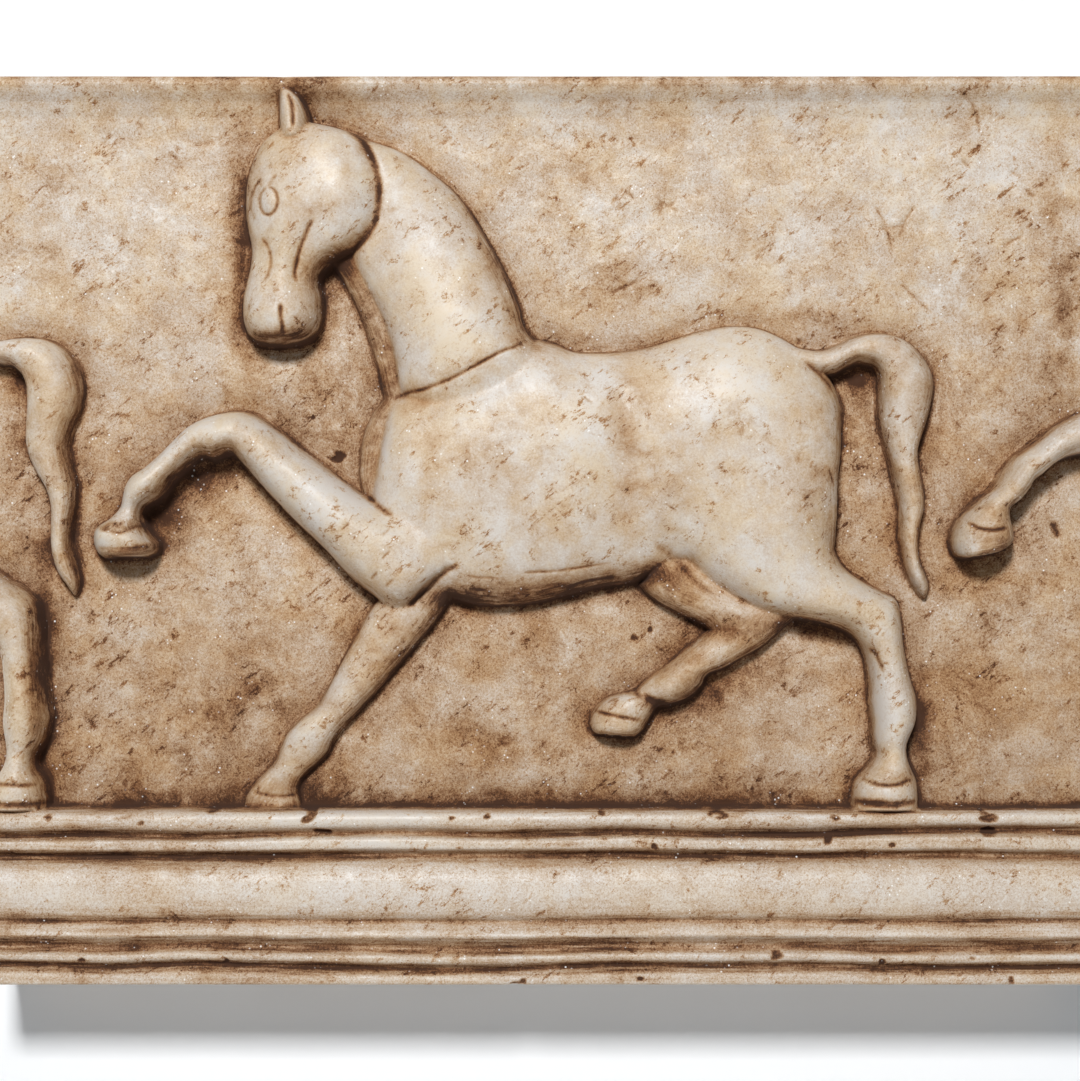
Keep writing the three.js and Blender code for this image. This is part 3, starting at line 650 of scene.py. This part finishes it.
def tool_mark_tree():
    """Geometry nodes that roughen a carved face with fine tool marks and give it its material."""
    group = bpy.data.node_groups.new("tool_marks", "GeometryNodeTree")
    for name, kind, direction in (
        ("Geometry", "NodeSocketGeometry", "INPUT"), ("Depth", "NodeSocketFloat", "INPUT"),
        ("Mark length", "NodeSocketFloat", "INPUT"), ("Pit size", "NodeSocketFloat", "INPUT"),
        ("Seed", "NodeSocketFloat", "INPUT"), ("Marble", "NodeSocketMaterial", "INPUT"),
        ("Geometry", "NodeSocketGeometry", "OUTPUT"),
    ):
        group.interface.new_socket(name=name, socket_type=kind, in_out=direction)
    t = Tree(group)
    given = t.add("NodeGroupInput").outputs
    place = t.add("GeometryNodeInputPosition").outputs["Position"]
    inverse = [t.math("DIVIDE", 1.0, given[name]) for name in ("Mark length", "Pit size")]
    drawn_out = t.add(
        "ShaderNodeVectorMath", {0: place, 1: (0.35, 0.5, 1.0)}, operation="MULTIPLY").outputs["Vector"]
    strokes, pits = (
        t.add("ShaderNodeTexNoise", {"Vector": where, "W": given["Seed"], "Scale": scale, "Detail": detail},
              noise_dimensions="4D").outputs["Fac"]
        for where, scale, detail in ((drawn_out, inverse[0], 3.0), (place, inverse[1], 2.0)))
    uneven = t.math("SUBTRACT", t.plus(strokes, pits), 1.0)
    front = t.add("ShaderNodeSeparateXYZ", {"Vector": place}).outputs["Y"]
    carved = t.times(t.ramp(front, -0.018, -0.022), t.ramp(front, -0.0275, -0.031, 4.0, 0.9))
    depth = t.times(t.times(uneven, given["Depth"]), carved)
    shift = t.add("ShaderNodeVectorMath", {0: (0.0, 1.0, 0.0), "Scale": depth}, operation="SCALE").outputs
    made = given["Geometry"]
    for kind, inputs in (("GeometryNodeSetPosition", {"Offset": shift["Vector"]}),
                         ("GeometryNodeRealizeInstances", {}),
                         ("GeometryNodeSetMaterial", {"Material": given["Marble"]})):
        made = t.add(kind, {"Geometry": made, **inputs}).outputs["Geometry"]
    t.put(t.add("NodeGroupOutput").inputs["Geometry"], made)
    return group


def finish_surface(obj, marble, depth, seed, most_triangles):
    """Tool marks on the carved face, then the mesh collapsed to so many triangles, and both made plain."""
    mesh = obj.data
    marks = obj.modifiers.new("tool_marks", "NODES")
    marks.node_group = tool_mark_tree()
    sizes = {"Depth": depth, "Mark length": 0.006, "Pit size": 0.0016, "Seed": float(seed), "Marble": marble}
    for item in marks.node_group.interface.items_tree:
        if item.in_out == "INPUT" and item.name in sizes:
            marks[item.identifier] = sizes[item.name]
    thin = obj.modifiers.new("thin", "DECIMATE")
    thin.ratio = most_triangles / (2 * len(mesh.polygons))
    thin.use_collapse_triangulate = True
    graph = bpy.context.evaluated_depsgraph_get()
    done = bpy.data.meshes.new_from_object(obj.evaluated_get(graph))
    obj.modifiers.clear()
    obj.data = done
    bpy.data.meshes.remove(mesh)
    done.name = "relief_plaque_marble"


def write_stains_and_painted_light(obj, relief):
    """Gives every point of the mesh the finish values that belong to its place."""
    mesh = obj.data
    points = np.empty(len(mesh.vertices) * 3)
    mesh.vertices.foreach_get("co", points)
    points = points.reshape(-1, 3) / MM
    row, col = relief.row_col(points[:, 0], points[:, 2])
    plain = points[:, 1] > -SLAB * 0.6
    for name, field in relief.stains_and_painted_light().items():
        values = np.where(plain, 0, lookup(field, row, col))
        layer = mesh.attributes.new(name, "FLOAT", "POINT")
        layer.data.foreach_set("value", values.astype(np.float32))


class Tree:
    """Short calls for building a node tree."""

    def __init__(self, tree):
        self.tree = tree

    def add(self, kind, inputs=None, **settings):
        node = self.tree.nodes.new(kind)
        for name, value in settings.items():
            setattr(node, name, value)
        for name, value in (inputs or {}).items():
            self.put(node.inputs[name], value)
        return node

    def put(self, socket, value):
        if isinstance(value, bpy.types.NodeSocket):
            self.tree.links.new(value, socket)
        else:
            socket.default_value = value

    def math(self, operation, a, b=0.0, clamp=False):
        node = self.add("ShaderNodeMath", {0: a, 1: b}, operation=operation, use_clamp=clamp)
        return node.outputs[0]

    def times(self, a, b):
        return self.math("MULTIPLY", a, b)

    def plus(self, a, b, clamp=False):
        return self.math("ADD", a, b, clamp)

    def ramp(self, factor, low, high, to_low=0.0, to_high=1.0):
        node = self.add("ShaderNodeMapRange", {"Value": factor, "From Min": low, "From Max": high,
                                               "To Min": to_low, "To Max": to_high})
        return node.outputs["Result"]

    def mix(self, factor, a, b, blend="MIX"):
        node = self.add("ShaderNodeMix", data_type="RGBA", blend_type=blend)
        self.put(node.inputs["Factor"], factor)
        self.put(node.inputs["A"], a)
        self.put(node.inputs["B"], b)
        return node.outputs["Result"]

    def between(self, factor, a, b):
        node = self.add("ShaderNodeMix", data_type="FLOAT")
        for socket, value in zip(("Factor", "A", "B"), (factor, a, b)):
            self.put(node.inputs[socket], value)
        return node.outputs["Result"]

    def noise(self, vector, scale, detail=4.0, rough=0.55, distortion=0.0):
        node = self.add("ShaderNodeTexNoise", {"Vector": vector, "Scale": scale, "Detail": detail,
                                               "Roughness": rough, "Distortion": distortion})
        return node.outputs["Fac"]

    def stretched(self, vector, scale, turn=(0, 0, 0)):
        spread = [1 / s for s in scale]
        node = self.add("ShaderNodeMapping", {"Vector": vector, "Rotation": turn, "Scale": spread},
                        vector_type="TEXTURE")
        return node.outputs["Vector"]

    def value(self, name):
        return self.add("ShaderNodeAttribute", attribute_name=name).outputs["Fac"]


def soil_and_painted_light(t, place):
    """How soiled the marble is, with painted shade and painted highlights, from clean at 0 to black in the
    deepest lines at 1.
    """
    parts = t.add("ShaderNodeSeparateXYZ", {"Vector": place})
    level = parts.outputs["Z"]
    carved = t.ramp(parts.outputs["Y"], -0.020, -0.0245)
    for axis, half in (("X", WIDTH * MM / 2), ("Z", HEIGHT * MM / 2)):
        inward = t.ramp(t.math("ABSOLUTE", parts.outputs[axis]), half - 0.0001, half - 0.0006)
        carved = t.times(carved, inward)
    figure, hollow_dirt_and_shade, seam_dirt_and_crease_shade, crest_wear_and_sheen, laid_stain_and_light = (
        t.times(t.value(name), carved) for name in ("figure", "hollow_dirt_and_shade", "seam_dirt_and_crease_shade", "crest_wear_and_sheen", "laid_stain_and_light"))
    painted_facing_shade, outline = t.value("painted_facing_shade"), t.between(carved, 60.0, t.value("outline"))
    off_figure = t.math("SUBTRACT", carved, figure)

    field = t.times(off_figure, t.ramp(level, MOULDED, FIELD))
    # The field darker towards the bottom.
    amount = t.times(field, t.ramp(level, 0.105, -0.05, 0.06, 0.28))
    amount = t.plus(amount, t.between(figure, 0.075, 0.10))
    amount = t.plus(amount, t.between(carved, 0.10, 0.0))

    streak_place = t.add("ShaderNodeCombineXYZ", {
        "X": t.times(outline, 1.6), "Y": t.times(parts.outputs["X"], 70.0),
        "Z": t.times(level, 70.0)}).outputs["Vector"]
    streak = t.noise(streak_place, 1.0, 5, 0.7)
    along = t.noise(t.stretched(place, (0.07, 1.0, 1.3)), 560, 5, 0.68)
    stretch = t.noise(t.stretched(place, (0.25, 1.0, 1.0)), 60, 3, 0.6)
    near = t.math("ABSOLUTE", outline)
    halo = t.math("POWER", t.ramp(near, 14.0, 0.0), 1.8)
    foot = t.math("POWER", t.ramp(near, 2.6, 0.0), 1.3)
    rim = t.math("POWER", t.ramp(near, 8.0, 0.0), 1.5)
    # Brown band along the outline: dirt round the figure, with painted shade at the foot of the walls and on
    # the figure's sides facing away from the light.
    ground_side = t.plus(t.times(halo, 0.20),
                         t.times(t.times(foot, painted_facing_shade), 0.20))
    figure_side = t.plus(t.times(rim, t.between(painted_facing_shade, 0.09, 0.46)),
                         t.times(foot, 0.10))
    edge = t.between(figure, ground_side, figure_side)
    edge = t.times(edge, t.ramp(streak, 0.30, 0.64, 0.25, 1.6))
    amount = t.plus(amount, edge)

    cloud = t.noise(place, 20, 5, 0.62, 0.6)
    mottle = t.noise(place, 95, 6, 0.7, 0.4)
    grain = t.noise(place, 1500, 3, 0.75)
    rougher = t.between(figure, 1.0, 0.6)
    amount = t.plus(amount, t.ramp(cloud, 0.3, 0.7, -0.11, 0.11))
    moulded = t.ramp(level, FIELD, MOULDED)
    blotchy = t.times(t.between(figure, 1.0, 0.85), t.between(moulded, 1.0, 0.6))
    amount = t.plus(amount, t.times(t.ramp(mottle, 0.3, 0.7, -0.15, 0.17), blotchy))
    amount = t.plus(amount, t.times(t.ramp(grain, 0.3, 0.7, -0.20, 0.20), rougher))
    rubbed = t.times(t.ramp(mottle, 0.34, 0.66, 0.60, 1.35), t.ramp(streak, 0.34, 0.60, 0.80, 1.15))
    drawn = t.between(figure, t.ramp(mottle, 0.34, 0.66, 0.45, 1.45), rubbed)
    lengthwise = t.times(t.ramp(along, 0.36, 0.62, 0.40, 1.30), t.ramp(stretch, 0.34, 0.62, 0.50, 1.30))
    laid_stain_and_light = t.times(laid_stain_and_light, t.between(moulded, drawn, lengthwise))
    amount = t.plus(amount, laid_stain_and_light)
    # Dirt and painted shade in the hollows.
    amount = t.plus(amount, t.times(hollow_dirt_and_shade, t.ramp(streak, 0.32, 0.62, 0.08, 0.62)))
    # Crests lighter: wear, and a painted highlight.
    amount = t.math("SUBTRACT", amount, t.times(crest_wear_and_sheen, 0.22))
    pepper = t.ramp(t.noise(place, 2400, 2, 0.5), 0.54, 0.68)
    amount = t.plus(amount, t.times(pepper, t.between(figure, 0.26, 0.08)))

    smudges = t.times(t.ramp(t.noise(place, 120, 6, 0.75, 0.6), 0.55, 0.72), t.ramp(cloud, 0.4, 0.6))
    amount = t.plus(amount, t.times(smudges, 0.36))
    slanted = t.stretched(place, (0.45, 1.0, 1.3), (0, -0.7, 0))
    flecks = t.ramp(t.noise(slanted, 330, 6, 0.8), 0.56, 0.605)
    patches = t.ramp(t.noise(place, 55, 5, 0.7, 0.4), 0.46, 0.58)
    blots = t.ramp(t.noise(place, 130, 7, 0.85), 0.59, 0.65)
    specks = t.math("MAXIMUM", t.times(flecks, patches), blots)
    amount = t.plus(amount, t.times(specks, t.between(figure, 0.46, 0.50)))
    points = t.ramp(t.noise(place, 700, 4, 0.8), 0.63, 0.69)
    amount = t.plus(amount, t.times(t.times(points, patches), 0.55))
    # Dirt in the cut lines and marks, with painted shade in the creases.
    seam_dirt_and_crease_shade = t.times(seam_dirt_and_crease_shade, t.ramp(mottle, 0.3, 0.7, 0.50, 0.90))
    amount = t.plus(amount, seam_dirt_and_crease_shade, True)
    return amount, specks, grain, mottle


def marble_material(tones):
    material = bpy.data.materials.new("waxed_marble")
    material.use_nodes = True
    material.node_tree.nodes.clear()
    t = Tree(material.node_tree)
    place = t.add("ShaderNodeTexCoord").outputs["Object"]
    amount, specks, grain, mottle = soil_and_painted_light(t, place)
    ramp = t.add("ShaderNodeValToRGB", {"Fac": amount})
    stops = ramp.color_ramp.elements
    while len(stops) < len(tones):
        stops.new(0.5)
    for stop, (position, colour) in zip(stops, tones):
        stop.position, stop.color = position, colour
    base = ramp.outputs["Color"]
    level = t.add("ShaderNodeSeparateXYZ", {"Vector": place}).outputs["Z"]
    honey = t.times(t.ramp(t.noise(place, 45, 6, 0.75), 0.42, 0.60),
                   t.ramp(level, MOULDED, FIELD, 0.40, 0.85))
    base = t.mix(honey, base, (1.0, 0.88, 0.68, 1.0), "MULTIPLY")
    base = t.mix(t.times(specks, 0.6), base, (1.0, 0.84, 0.60, 1.0), "MULTIPLY")
    # Lighter points of the marble's crystals, partly painted glints.
    crystals = t.add("ShaderNodeTexVoronoi", {"Vector": place, "Scale": 520.0}, feature="F1")
    crystal_glint = t.times(t.ramp(crystals.outputs["Distance"], 0.20, 0.10),
                      t.ramp(t.noise(place, 110, 3, 0.6), 0.56, 0.64))
    base = t.mix(crystal_glint, base, (0.90, 0.88, 0.85, 1.0))

    rough = t.plus(t.ramp(mottle, 0.3, 0.7, 0.43, 0.57), t.times(amount, 0.45), True)
    pits = t.plus(t.times(grain, 0.5), t.times(t.noise(place, 330, 4, 0.6), 0.5))
    bump = t.add("ShaderNodeBump", {"Height": pits, "Strength": 0.30, "Distance": 0.0002})
    shader = t.add("ShaderNodeBsdfPrincipled", {"Base Color": base, "Roughness": rough,
                                               "Normal": bump.outputs["Normal"],
                                               "Coat Weight": t.ramp(amount, 0.1, 0.5, 0.11, 0.0)})
    shader.inputs["Coat Roughness"].default_value = 0.33
    out = t.add("ShaderNodeOutputMaterial")
    t.put(out.inputs["Surface"], shader.outputs["BSDF"])
    return material


def rgba(colour):
    return (*colour[:3], 1.0)


class ReliefSettings(bpy.types.PropertyGroup):
    cell: bpy.props.FloatProperty(
        name="Cell", description="Spacing of the points the front is carved on, in millimetres",
        default=0.4, min=0.25, max=2.0)
    triangles: bpy.props.IntProperty(
        name="Triangles", description="Most triangles of the finished stone", default=190000, min=20000,
        max=199000)
    seed: bpy.props.IntProperty(name="Seed", description="Seed of the hand work's irregularity", default=11)
    mark_depth: bpy.props.FloatProperty(
        name="Tool marks", description="Depth of the tool marks on the field", default=0.00016, unit="LENGTH")
    ivory: bpy.props.FloatVectorProperty(
        name="Ivory", description="Clean, worn marble", subtype="COLOR", size=3, default=(0.68, 0.628, 0.572))
    cream: bpy.props.FloatVectorProperty(
        name="Cream", description="Lightly toned marble", subtype="COLOR", size=3,
        default=(0.555, 0.44, 0.335))
    tan: bpy.props.FloatVectorProperty(
        name="Tan", description="Toned marble of the field", subtype="COLOR", size=3,
        default=(0.41, 0.258, 0.142))
    # Brown and umber also carry the painted shade and painted shadows of the finish, besides stain and dirt.
    brown: bpy.props.FloatVectorProperty(
        name="Brown", description="Stain in the hollows", subtype="COLOR", size=3,
        default=(0.20, 0.086, 0.033))
    umber: bpy.props.FloatVectorProperty(
        name="Umber", description="Dirt in the cut lines", subtype="COLOR", size=3,
        default=(0.062, 0.025, 0.011))


TONES = (("ivory", 0.0), ("cream", 0.25), ("tan", 0.50), ("brown", 0.76), ("umber", 1.0))


class StudioSettings(bpy.types.PropertyGroup):
    key_power: bpy.props.FloatProperty(
        name="Key", description="Power of the key light", default=45.0, unit="POWER")
    key_size: bpy.props.FloatProperty(
        name="Key size", description="Side of the key light", default=0.34, unit="LENGTH", min=0.01)
    fill: bpy.props.FloatProperty(name="Fill", description="Brightness of the surroundings", default=0.07)
    floor_drop: bpy.props.FloatProperty(
        name="Floor drop", description="Floor below the plaque's middle", default=0.8, unit="LENGTH")


class RELIEF_OT_carve(bpy.types.Operator):
    """Carves the marble plaque and gives it its finish"""
    bl_idname = "relief.carve"
    bl_label = "Carve the plaque"

    def execute(self, context):
        settings = context.scene.relief_settings
        relief = Relief(settings.cell * (1.0), settings.seed)
        relief.carve()
        stone = bpy.data.objects.new("relief_plaque_marble", front_mesh(relief))
        context.scene.collection.objects.link(stone)
        marble = marble_material([(position, rgba(getattr(settings, name))) for name, position in TONES])
        finish_surface(stone, marble, settings.mark_depth, settings.seed, settings.triangles)
        write_stains_and_painted_light(stone, relief)
        stone.data.polygons.foreach_set("use_smooth", [True] * len(stone.data.polygons))
        stone.data.set_sharp_from_angle(angle=math.radians(50))
        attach(stone, "root")
        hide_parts("relief_plaque")
        return {"FINISHED"}


CORNERS = ((-1, -1), (1, -1), (1, 1), (-1, 1))


def plain_material(name, colour, roughness, one_sided=False):
    material = bpy.data.materials.new(name)
    material.use_nodes = True
    shader = material.node_tree.nodes["Principled BSDF"]
    shader.inputs["Base Color"].default_value = colour
    shader.inputs["Roughness"].default_value = roughness
    if one_sided:
        t = Tree(material.node_tree)
        behind = t.add("ShaderNodeNewGeometry").outputs["Backfacing"]
        clear = t.add("ShaderNodeBsdfTransparent")
        mix = t.add("ShaderNodeMixShader", {0: behind, 1: shader.outputs[0], 2: clear.outputs[0]})
        out = next(n for n in material.node_tree.nodes if n.type == "OUTPUT_MATERIAL")
        t.put(out.inputs["Surface"], mix.outputs[0])
    return material


def sheet(name, corners, material, faces=((0, 1, 2, 3),)):
    mesh = bpy.data.meshes.new(name)
    mesh.from_pydata(corners, [], faces)
    mesh.materials.append(material)
    obj = bpy.data.objects.new(name, mesh)
    bpy.context.scene.collection.objects.link(obj)
    return obj


def area_light(name, place, power, size):
    light = bpy.data.lights.new(name, "AREA")
    light.energy, light.size = power, size
    lamp = bpy.data.objects.new(name, light)
    lamp.location = place
    lamp.rotation_euler = (-lamp.location).to_track_quat("-Z", "Y").to_euler()
    bpy.context.scene.collection.objects.link(lamp)


class RELIEF_OT_studio(bpy.types.Operator):
    """Sets up wall, floor, lights and camera"""
    bl_idname = "relief.studio"
    bl_label = "Set up the studio"

    def execute(self, context):
        settings = context.scene.studio_settings
        reach, rise, drop = 1.6, 1.2, -settings.floor_drop
        wall = plain_material("white_wall", (0.955, 0.97, 0.985, 1), 0.9, one_sided=True)
        pale = plain_material("pale_floor", (0.86, 0.86, 0.85, 1), 0.8)
        back = 0.0006
        outer = [(x * reach, back, drop if z < 0 else rise) for x, z in CORNERS]
        half_width, half_height = (WIDTH / 2 - 0.5) * MM, (HEIGHT / 2 - 0.5) * MM
        opening = [(x * half_width, back, z * half_height) for x, z in CORNERS]
        around = [(i, (i + 1) % 4, 4 + (i + 1) % 4, 4 + i) for i in range(4)]
        sheet("wall", outer + opening, wall, around)
        sheet("floor", [(x * reach, y * 2.5, drop) for x, y in CORNERS], pale)

        far, side, lift = 2.2, math.radians(6), math.radians(29)
        level = -far * math.cos(lift)
        place = (level * math.sin(side), level * math.cos(side), far * math.sin(lift))
        area_light("key", place, settings.key_power, settings.key_size)
        area_light("behind", (0.9, 1.7, 0.9), settings.key_power * 0.6, 1.0)

        world = bpy.data.worlds.new("studio")
        world.use_nodes = True
        world.node_tree.nodes["Background"].inputs["Color"].default_value = (0.83, 0.99, 1.17, 1)
        world.node_tree.nodes["Background"].inputs["Strength"].default_value = settings.fill
        context.scene.world = world

        camera = bpy.data.objects.new("camera", bpy.data.cameras.new("camera"))
        camera.data.sensor_width = 36.0
        camera.data.lens = 36.0 * VIEW_DISTANCE / (1080 * VIEW_UNIT)
        camera.data.clip_start, camera.data.clip_end = 0.01, 20.0
        camera.location = (0, -(SLAB + VIEW_DISTANCE) * MM, EYE_LEVEL * MM)
        camera.rotation_euler = (math.pi / 2, 0, 0)
        context.scene.collection.objects.link(camera)
        context.scene.camera = camera
        context.scene.view_settings.view_transform = "Standard"
        return {"FINISHED"}


class RELIEF_PT_panel(bpy.types.Panel):
    """Sizes and colours of the plaque"""
    bl_idname = "RELIEF_PT_panel"
    bl_label = "Marble relief"
    bl_space_type = "VIEW_3D"
    bl_region_type = "UI"
    bl_category = "Relief"

    def draw(self, context):
        layout = self.layout
        for settings in (context.scene.relief_settings, context.scene.studio_settings):
            for name in settings.__annotations__:
                layout.prop(settings, name)
        layout.operator(RELIEF_OT_carve.bl_idname)
        layout.operator(RELIEF_OT_studio.bl_idname)


CLASSES = (ReliefSettings, StudioSettings, RELIEF_OT_carve, RELIEF_OT_studio, RELIEF_PT_panel)


def register():
    for cls in CLASSES:
        bpy.utils.register_class(cls)
    bpy.types.Scene.relief_settings = bpy.props.PointerProperty(type=ReliefSettings)
    bpy.types.Scene.studio_settings = bpy.props.PointerProperty(type=StudioSettings)


def unregister():
    del bpy.types.Scene.studio_settings
    del bpy.types.Scene.relief_settings
    for cls in reversed(CLASSES):
        bpy.utils.unregister_class(cls)


def main():
    register()
    bpy.ops.relief.carve()
    bpy.ops.relief.studio()


if __name__ == "__main__":
    main()
